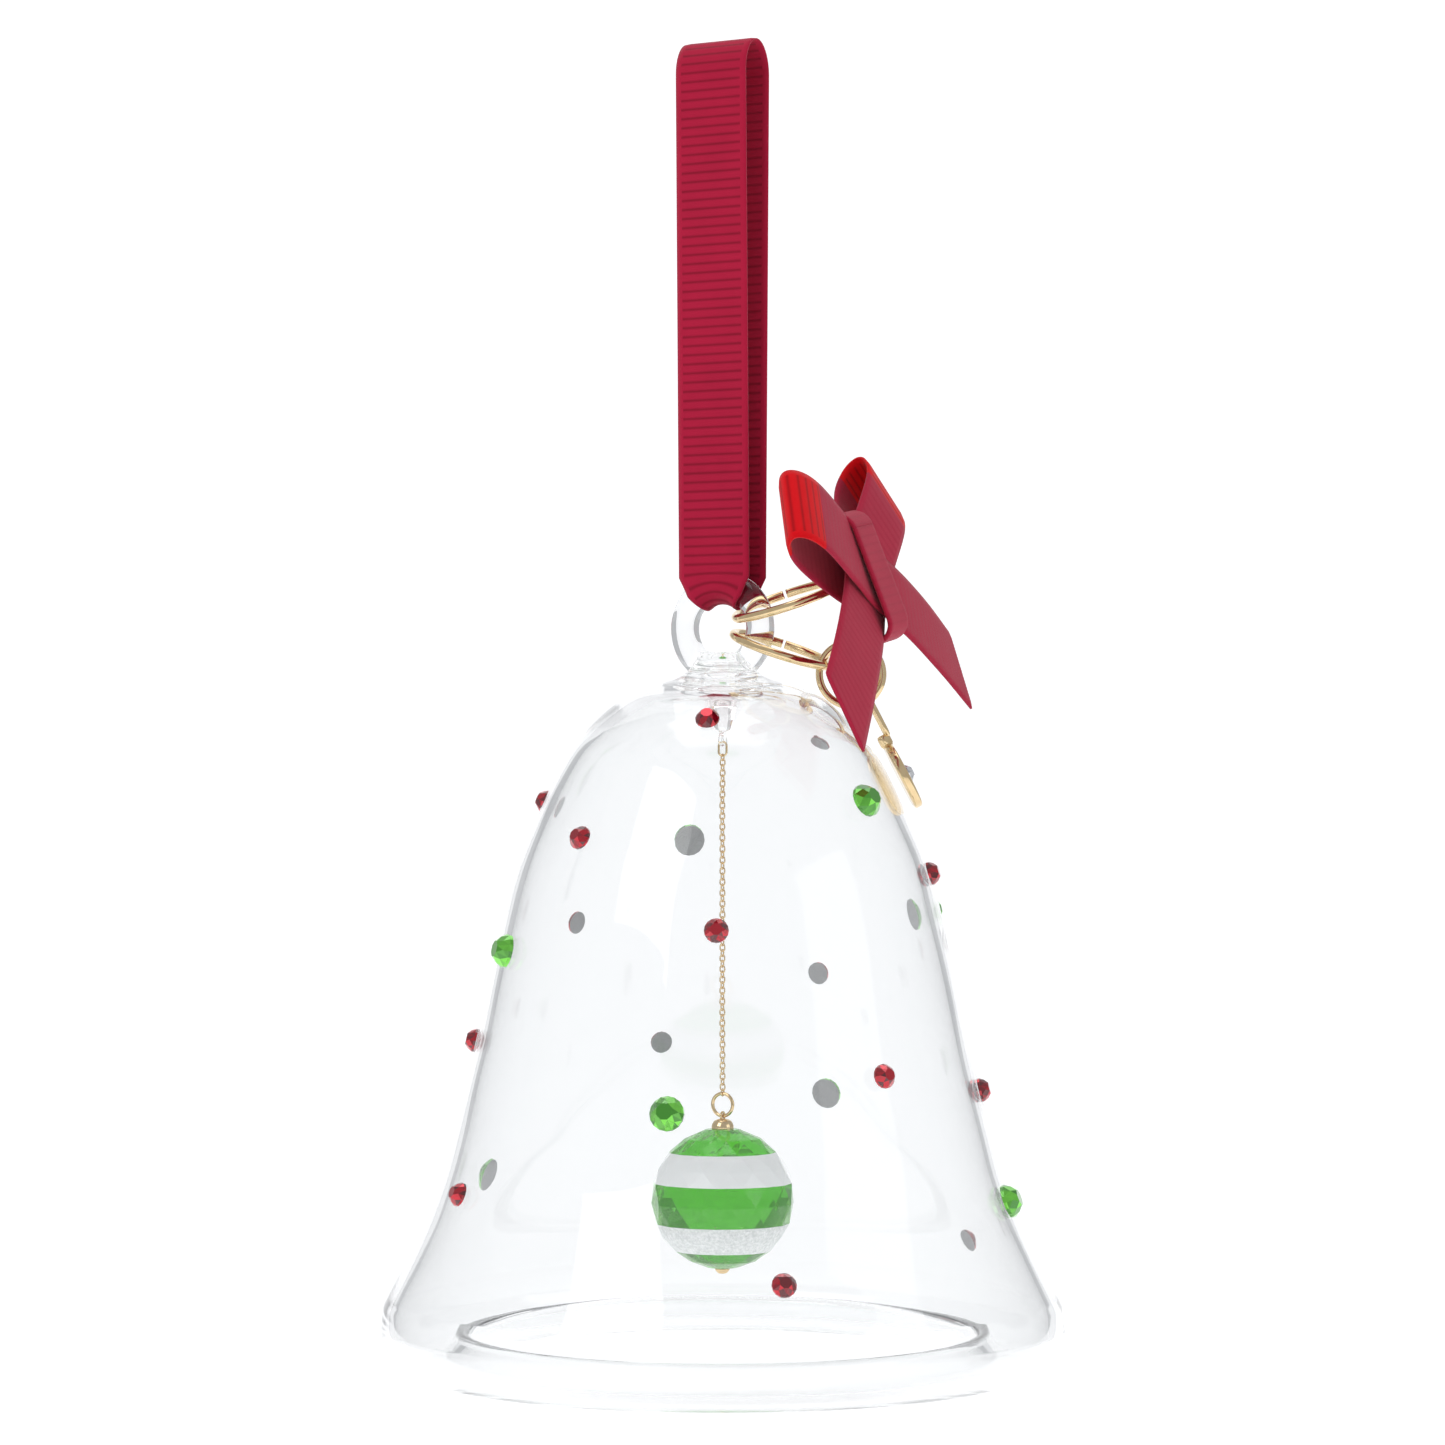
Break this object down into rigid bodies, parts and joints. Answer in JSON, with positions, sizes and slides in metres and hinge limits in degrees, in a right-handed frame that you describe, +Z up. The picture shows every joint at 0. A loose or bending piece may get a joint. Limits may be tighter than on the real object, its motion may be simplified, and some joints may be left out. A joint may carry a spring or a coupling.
{
  "type": "christmas bell ornament",
  "caption": "Clear glass bell ornament on a red ribbon loop, with glued crystals, a ball clapper on a fine chain, and a bow and a tag on gold rings.",
  "frame": {"origin": "inside of the ribbon loop's top, where it rests on a hook", "axes": "+Z up along the bell's axis; the glass ring lies in the XZ plane, so the ribbon's width runs along X; the bow and tag are on the +X side"},
  "size_m": [0.086, 0.086, 0.1677],
  "materials": {
    "clear_glass": "clear, polished",
    "green_glass": "cut, two white bands",
    "red_crystal": "cut, foil backed",
    "green_crystal": "cut, foil backed",
    "clear_crystal": "cut, foil backed",
    "gold": "pale gold plate, polished",
    "red_ribbon": "ribbed grosgrain",
    "red_thread": "thread"
  },
  "bodies": {
    "ribbon": {"hanging_ribbon": "red_ribbon", "ribbon_stitches": "red_thread"},
    "bell": {"bell_glass": "clear_glass", "hanging_ring": "clear_glass", "chain_anchor": "clear_glass", "red_crystal_01": "red_crystal", "red_crystal_02": "red_crystal", "red_crystal_03": "red_crystal", "red_crystal_04": "red_crystal", "red_crystal_05": "red_crystal", "red_crystal_06": "red_crystal", "red_crystal_07": "red_crystal", "red_crystal_08": "red_crystal", "red_crystal_09": "red_crystal", "red_crystal_10": "red_crystal", "red_crystal_11": "red_crystal", "red_crystal_12": "red_crystal", "red_crystal_13": "red_crystal", "red_crystal_14": "red_crystal", "red_crystal_15": "red_crystal", "green_crystal_01": "green_crystal", "green_crystal_02": "green_crystal", "green_crystal_03": "green_crystal", "green_crystal_04": "green_crystal", "green_crystal_05": "green_crystal", "green_crystal_06": "green_crystal", "green_crystal_07": "green_crystal", "green_crystal_08": "green_crystal"},
    "chain_upper": {"chain_top_ring": "gold", "chain_upper_links": "gold"},
    "chain_lower": {"chain_lower_links": "gold"},
    "ball_ring": {"ball_ring": "gold"},
    "clapper": {"clapper_ball": "green_glass", "ball_cap": "gold", "ball_pin": "gold", "ball_end_cap": "gold"},
    "bow": {"bow_ring": "gold", "bow_strip": "red_ribbon", "bow_wrap": "red_ribbon"},
    "tag_ring": {"tag_ring": "gold"},
    "tag_link": {"tag_link_ring": "gold"},
    "tag": {"tag_bail": "gold", "tag_disc": "gold", "tag_crystal": "clear_crystal"}
  },
  "joints": [
    {"name": "bell_swing", "type": "hinge", "parent": "ribbon", "child": "bell", "pos_m": [0, 0, -0.0687], "axis": [1, 0, 0], "range_deg": [-8, 8]},
    {"name": "chain_swing", "type": "hinge", "parent": "bell", "child": "chain_upper", "pos_m": [0, 0, -0.08805], "axis": [1, 0, 0], "range_deg": [-18, 18]},
    {"name": "chain_bend", "type": "hinge", "parent": "chain_upper", "child": "chain_lower", "pos_m": [0, 0, -0.11144], "axis": [0, 1, 0], "range_deg": [-12, 12]},
    {"name": "ball_ring_swing", "type": "hinge", "parent": "chain_lower", "child": "ball_ring", "pos_m": [0, 0, -0.13331], "axis": [0, 1, 0], "range_deg": [-8, 8]},
    {"name": "clapper_swing", "type": "hinge", "parent": "ball_ring", "child": "clapper", "pos_m": [0, 0, -0.13582], "axis": [1, 0, 0], "range_deg": [-12, 12]},
    {"name": "bow_turn", "type": "hinge", "parent": "bell", "child": "bow", "pos_m": [0.00507, 0, -0.07225], "axis": [0.342, 0, -0.9397], "range_deg": [0, 6]},
    {"name": "tag_ring_turn", "type": "hinge", "parent": "bell", "child": "tag_ring", "pos_m": [0.00514, 0, -0.07577], "axis": [-0.309, 0, -0.9511], "range_deg": [-4, 0]},
    {"name": "tag_link_swing", "type": "hinge", "parent": "tag_ring", "child": "tag_link", "pos_m": [0.01231, 0.00581, -0.07876], "axis": [0.4772, -0.8788, 0], "range_deg": [0, 4]},
    {"name": "tag_swing", "type": "hinge", "parent": "tag_link", "child": "tag", "pos_m": [0.01664, 0.00812, -0.08318], "axis": [0.7197, 0.3907, 0.5739], "range_deg": [-8, 8]}
  ]
}
